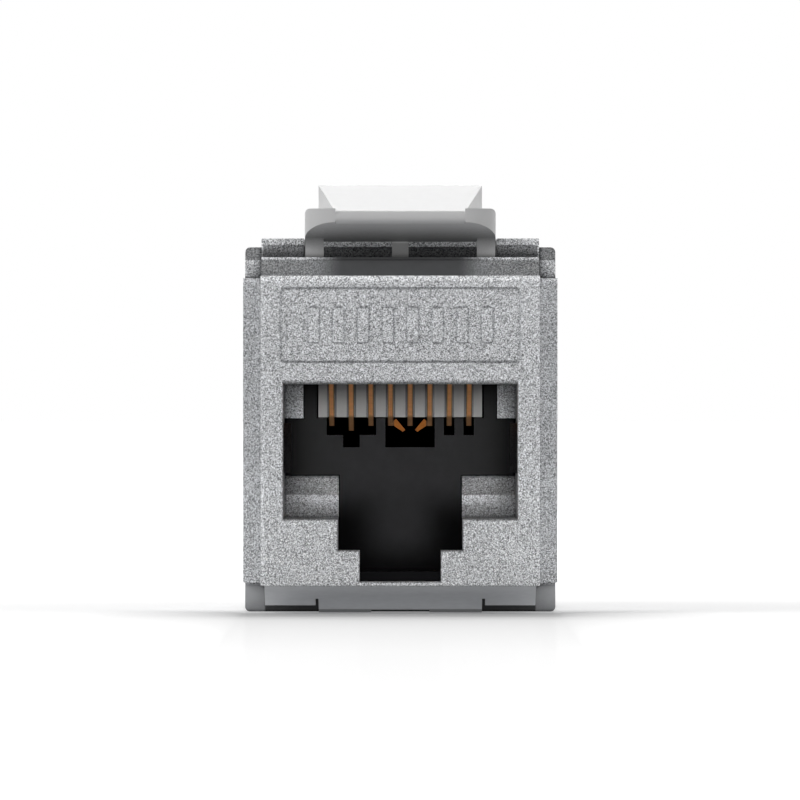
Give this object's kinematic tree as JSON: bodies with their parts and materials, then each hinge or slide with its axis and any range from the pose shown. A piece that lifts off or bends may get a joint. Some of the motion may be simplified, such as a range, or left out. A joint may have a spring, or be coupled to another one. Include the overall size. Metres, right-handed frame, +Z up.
{
  "type": "keystone jack",
  "caption": "Shielded metal keystone jack with a modular plug mouth, a white release latch on top, and two hinged rear doors that close round the cable.",
  "frame": {"origin": "on the ground under the middle of the jack's bounding box", "axes": "+Z up; -Y out of the plug mouth; +Y out of the cable collar; +X to the right seen from the front"},
  "size_m": [0.0162, 0.035, 0.0221],
  "materials": {
    "cast_metal": "tumbled die-cast zinc with a fine speckle",
    "white_plastic": "moulded, satin",
    "black_plastic": "moulded, satin",
    "grey_plastic": "moulded, satin",
    "green_board": "solder mask",
    "contact_metal": "gold-flashed bronze",
    "terminal_metal": "tinned bronze",
    "spring_steel": "rolled strip",
    "pin_steel": "drawn wire"
  },
  "bodies": {
    "housing": {"front_housing": "cast_metal", "plug_insert": "black_plastic", "contact_comb": "grey_plastic", "contact_board": "green_board", "terminal_board": "green_board", "lower_terminal_block": "black_plastic", "upper_terminal_block": "black_plastic", "wire_manager": "white_plastic", "left_hinge_pin": "pin_steel", "right_hinge_pin": "pin_steel", "terminal_1": "terminal_metal", "terminal_2": "terminal_metal", "terminal_3": "terminal_metal", "terminal_4": "terminal_metal", "terminal_5": "terminal_metal", "terminal_6": "terminal_metal", "terminal_7": "terminal_metal", "terminal_8": "terminal_metal"},
    "latch": {"release_latch": "white_plastic"},
    "left_rear_door": {"left_door": "cast_metal", "left_cable_clip": "spring_steel"},
    "right_rear_door": {"right_door": "cast_metal", "right_cable_clip": "spring_steel"},
    "contacts": {"contact_1": "contact_metal", "contact_2": "contact_metal", "contact_3": "contact_metal", "contact_4": "contact_metal", "contact_5": "contact_metal", "contact_6": "contact_metal", "contact_7": "contact_metal", "contact_8": "contact_metal"},
    "left_spring": {"left_shield_spring": "spring_steel"},
    "right_spring": {"right_shield_spring": "spring_steel"}
  },
  "joints": [
    {"name": "latch_flex", "type": "hinge", "parent": "housing", "child": "latch", "pos_m": [0, -0.01125, 0.0179], "axis": [1, 0, 0], "range_deg": [-13, 0], "stiffness_Nm_per_rad": 0.1, "springref_deg": 1.15},
    {"name": "left_door_swing", "type": "hinge", "parent": "housing", "child": "left_rear_door", "pos_m": [-0.00717, 0.0054, 0.009], "axis": [0, 0, 1], "range_deg": [0, 95]},
    {"name": "right_door_swing", "type": "hinge", "parent": "housing", "child": "right_rear_door", "pos_m": [0.00717, 0.0054, 0.009], "axis": [0, 0, 1], "range_deg": [-95, 0]},
    {"name": "contact_flex", "type": "hinge", "parent": "housing", "child": "contacts", "pos_m": [0, -0.014, 0.01217], "axis": [1, 0, 0], "range_deg": [0, 7], "stiffness_Nm_per_rad": 0.3, "springref_deg": -1.15},
    {"name": "left_shield_flex", "type": "hinge", "parent": "housing", "child": "left_spring", "pos_m": [-0.00615, -0.0078, 0.00847], "axis": [0, 0, 1], "range_deg": [-3.5, 0], "stiffness_Nm_per_rad": 0.1, "springref_deg": 1.15},
    {"name": "right_shield_flex", "type": "hinge", "parent": "housing", "child": "right_spring", "pos_m": [0.00615, -0.0078, 0.00847], "axis": [0, 0, 1], "range_deg": [0, 3.5], "stiffness_Nm_per_rad": 0.1, "springref_deg": -1.15}
  ]
}
